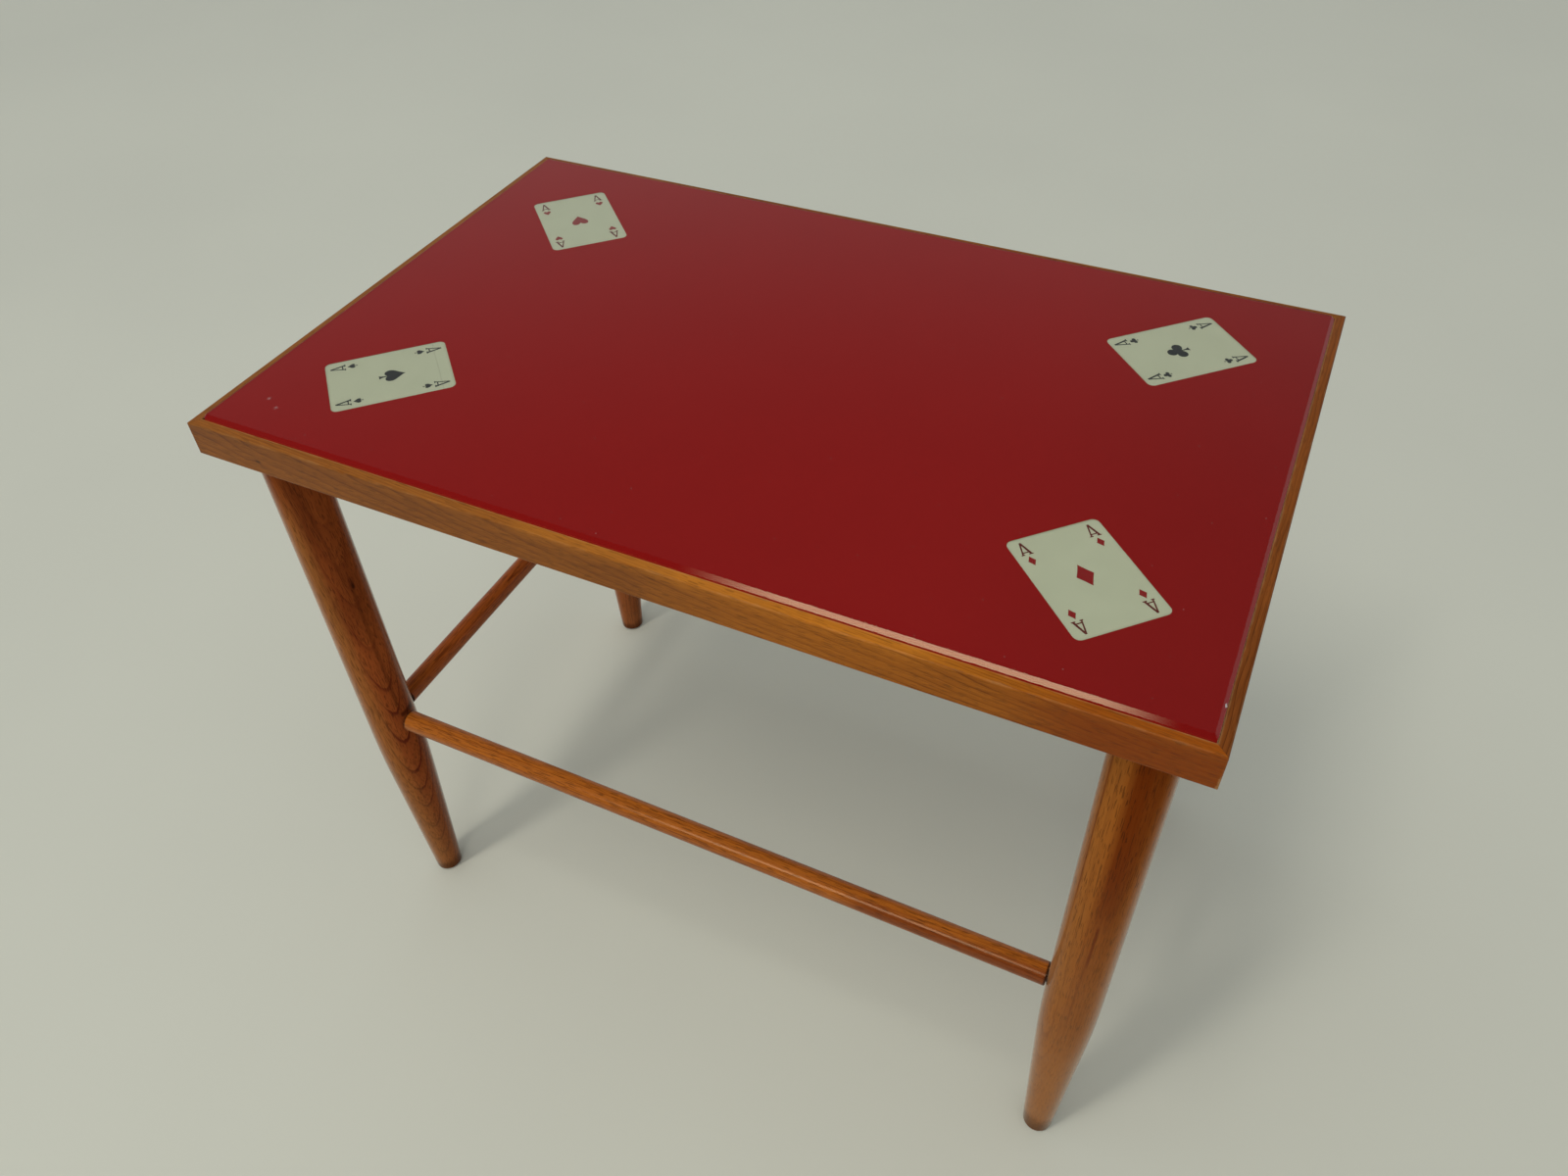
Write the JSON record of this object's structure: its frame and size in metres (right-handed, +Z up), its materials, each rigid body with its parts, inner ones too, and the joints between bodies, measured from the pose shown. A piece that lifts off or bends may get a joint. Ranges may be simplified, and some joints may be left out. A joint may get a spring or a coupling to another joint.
{
  "type": "poker table",
  "caption": "Low card table with a red glass top showing ace cards at its corners, a mitred timber frame, tapered round legs and round stretchers.",
  "frame": {"origin": "on the floor at the centre of the table's footprint", "axes": "+Z up, +X along the long side to the right as seen from the front, +Y to the back"},
  "size_m": [0.71, 0.45, 0.58],
  "materials": {
    "rail_timber": "clear satin varnish over golden open-pored timber",
    "leg_timber": "warm red-brown stained and varnished timber",
    "batten_timber": "raw planed timber",
    "plywood": "raw plywood",
    "red_enamel": "even red enamel",
    "card_stock": "aged smooth card",
    "glass": "clear float glass with a polished bevel",
    "screw_steel": "dull plated steel"
  },
  "bodies": {
    "root": {"front_rail": "rail_timber", "right_rail": "rail_timber", "back_rail": "rail_timber", "left_rail": "rail_timber", "mitre_spline_front_left": "batten_timber", "mitre_spline_front_right": "batten_timber", "mitre_spline_back_right": "batten_timber", "mitre_spline_back_left": "batten_timber", "base_panel": "plywood", "red_backing": "red_enamel", "ace_of_spades": "card_stock", "ace_of_hearts": "card_stock", "ace_of_clubs": "card_stock", "ace_of_diamonds": "card_stock", "glass_top": "glass", "left_batten": "batten_timber", "right_batten": "batten_timber", "front_left_leg": "leg_timber", "front_right_leg": "leg_timber", "back_right_leg": "leg_timber", "back_left_leg": "leg_timber", "front_stretcher": "leg_timber", "back_stretcher": "leg_timber", "right_stretcher": "leg_timber", "left_stretcher": "leg_timber"}
  },
  "joints": []
}
